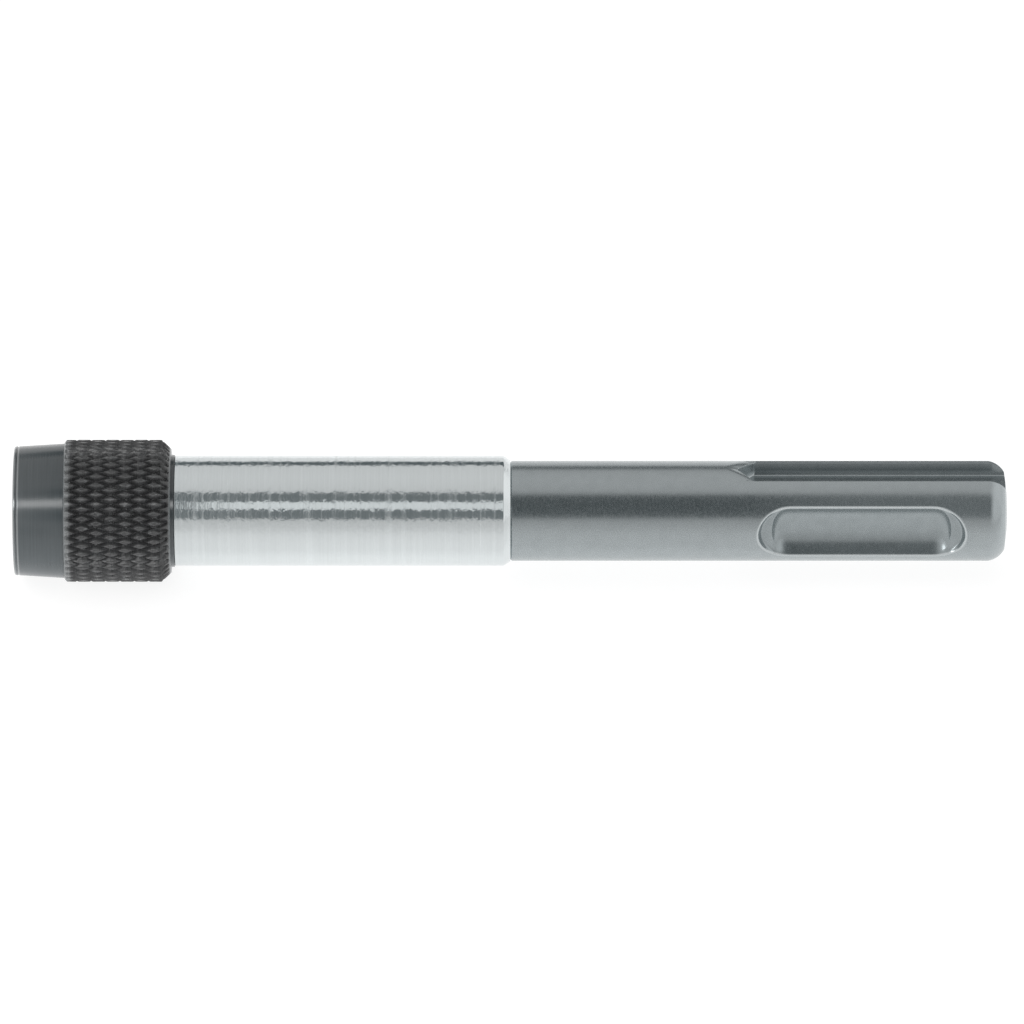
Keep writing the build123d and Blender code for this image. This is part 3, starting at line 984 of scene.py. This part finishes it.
def camera():
    """The photo's view: from above the front, with a long lens."""
    data = bpy.data.cameras.new("camera")
    data.sensor_width = SENSOR_MM
    data.lens = SENSOR_MM * CAMERA_DISTANCE / PHOTO_WIDTH_MM
    data.clip_start = CAMERA_NEAR * MM
    data.clip_end = CAMERA_FAR * MM
    obj = bpy.data.objects.new("camera", data)
    bpy.context.collection.objects.link(obj)
    tilt = math.radians(CAMERA_ELEVATION)
    down = np.array((0, -math.sin(tilt), -math.cos(tilt))) * VIEW_CENTRE_DOWN
    out = np.array((0, -math.cos(tilt), math.sin(tilt))) * CAMERA_DISTANCE
    obj.location = (np.array((VIEW_CENTRE_X, 0, 0)) + down + out) * MM
    obj.rotation_euler = (math.pi / 2 - tilt, 0, 0)
    bpy.context.scene.camera = obj


def studio_world():
    """Soft studio light, stronger from the left. Gloss sees dark and light cards round the object,
    set by the angle about X, and open light past the object's two ends."""
    world = bpy.data.worlds.new("studio")
    bpy.context.scene.world = world
    world.use_nodes = True
    tree = world.node_tree
    tree.nodes.clear()
    x, y, z = split_place(tree, "Generated")
    leftward = product(tree, x, -1)
    turn = maths(tree, "ARCTAN2", z, product(tree, y, -1))
    stops = []
    for angle, level in CARDS:
        tint = grey(level) if level > DARK_CARD else tuple(level * share for share in DARK_TINT)
        stops.append((angle / 180, tint))
    cards = ramp(tree, product(tree, turn, 1 / math.pi), stops)
    past_right = spread(tree, x, *RIGHT_SPAN, 0.0, RIGHT_SHARE)
    past_left = spread(tree, leftward, *LEFT_SPAN, 0.0, LEFT_SHARE)
    seen = blend_colours(tree, past_right, cards, grey(1.0))
    seen = blend_colours(tree, past_left, seen, grey(LEFT_GLOSS))
    to_left = spread(tree, leftward, *SOFT_SPAN)
    soft = blend_colours(tree, to_left, grey(SOFT_RIGHT), grey(SOFT_LEFT))
    lights = [light(tree, "ShaderNodeBackground", colour) for colour in (grey(1.0), seen, soft)]
    out = node(tree, "ShaderNodeOutputWorld")
    tree.links.new(by_ray(tree, *lights), out.inputs[0])


def strip_lamp(name, piece, ends, tilt, reach, opening, level):
    """A long lamp between two places along X, at an angle about it, which gleams in one piece."""
    height = 2 * reach * math.tan(math.radians(opening / 2))
    data = bpy.data.lights.new("strip_" + name, "AREA")
    data.shape = "RECTANGLE"
    data.size = (ends[1] - ends[0]) * MM
    data.size_y = height * MM
    data.energy = level * math.pi * data.size * data.size_y
    obj = bpy.data.objects.new(data.name, data)
    bpy.context.collection.objects.link(obj)
    a = math.radians(tilt)
    obj.location = (sum(ends) / 2 * MM, -math.cos(a) * reach * MM, math.sin(a) * reach * MM)
    obj.rotation_euler = (math.pi / 2 - a, 0, 0)
    obj.visible_camera = False
    obj.visible_diffuse = False
    lit = bpy.data.collections.new(data.name)
    lit.objects.link(piece)
    obj.light_linking.receiver_collection = lit


def floor():
    """A pale floor that keeps the shadow. The camera sees it as white, and the metal sees it grow
    darker to the front."""
    signs = ((-1, -1), (1, -1), (1, 1), (-1, 1))
    corners = [(x * FLOOR_HALF, y * FLOOR_HALF, FLOOR_Z) for x, y in signs]
    obj = mesh_object("floor", corners, [(0, 1, 2, 3)])
    material = bpy.data.materials.new("floor")
    material.use_nodes = True
    tree = material.node_tree
    tree.nodes.clear()
    ahead = product(tree, split_place(tree, "Object")["Y"], -1 / MM)
    fall = [(at, grey(level)) for at, level in FLOOR_FALL]
    mirrored = ramp(tree, spread(tree, ahead, 0, FLOOR_REACH), fall)
    lights = [
        light(tree, "ShaderNodeEmission", grey(FLOOR_GLOW)),
        light(tree, "ShaderNodeEmission", mirrored),
        light(tree, "ShaderNodeEmission", grey(1.0), FLOOR_BOUNCE),
    ]
    matt = node(tree, "ShaderNodeBsdfDiffuse", Color=(*grey(FLOOR_MATT), 1))
    both = node(tree, "ShaderNodeAddShader")
    tree.links.new(matt.outputs[0], both.inputs[0])
    tree.links.new(by_ray(tree, *lights), both.inputs[1])
    out = node(tree, "ShaderNodeOutputMaterial")
    tree.links.new(both.outputs[0], out.inputs["Surface"])
    obj.data.materials.append(material)


# The whole

def dress(obj, cad_node, body, material):
    """Ties a piece to the body that it moves with, the node that it stands for and its finish."""
    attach(obj, body)
    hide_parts(cad_node)
    obj.data.materials.clear()
    obj.data.materials.append(material)


def build():
    """All the pieces, each on its body, and the lamps that gleam in them."""
    wire = plain_metal("spring_steel", grey(0.30), grey(0.40), 0.25, 0.4, 1500)
    zinc = plain_metal("zinc_steel", (0.5, 0.5, 0.47), (0.6, 0.6, 0.57), 0.3, 0.45, 3000)
    brass = plain_metal("brass", (0.66, 0.46, 0.2), (0.76, 0.56, 0.28), 0.22, 0.35, 2500)
    plated = plain_metal("magnet_nickel", grey(0.55), grey(0.65), 0.15, 0.3, 2500)
    steel = plain_metal("ball_steel", grey(0.68), grey(0.76), 0.06, 0.14, 2500)
    shell = collar()
    barrel = sleeve()
    bar = shank()
    ring = wire_ring()
    washer = flat_ring("washer_disc", WASHER_BOX, BORE_R)
    bush = flat_ring("bush_ring", BUSH_BOX, BUSH_BORE_R)
    dress(shell, "release_collar", "collar", black_oxide())
    dress(barrel, "holder_body", "holder", bright_nickel())
    dress(bar, "sds_shank", "holder", satin_steel())
    dress(ring, "retaining_ring", "holder", wire)
    dress(washer, "spring_washer", "holder", zinc)
    dress(bush, "magnet_bush", "holder", brass)
    dress(magnet(), "bit_magnet", "holder", plated)
    for number, angle in enumerate(BALL_ANGLES, 1):
        piece = ball(number, angle)
        dress(piece, f"locking_ball_{number}", f"ball_{number}", steel)
    coil = spring()
    dress(coil, "collar_spring", "holder", wire)
    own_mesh(coil)
    pieces = (shell, barrel, barrel, bar, bar)
    for piece, (name, values) in zip(pieces, LAMPS.items()):
        strip_lamp(name, piece, *values)


camera()
studio_world()
floor()
build()
bpy.context.scene.view_settings.view_transform = "Standard"
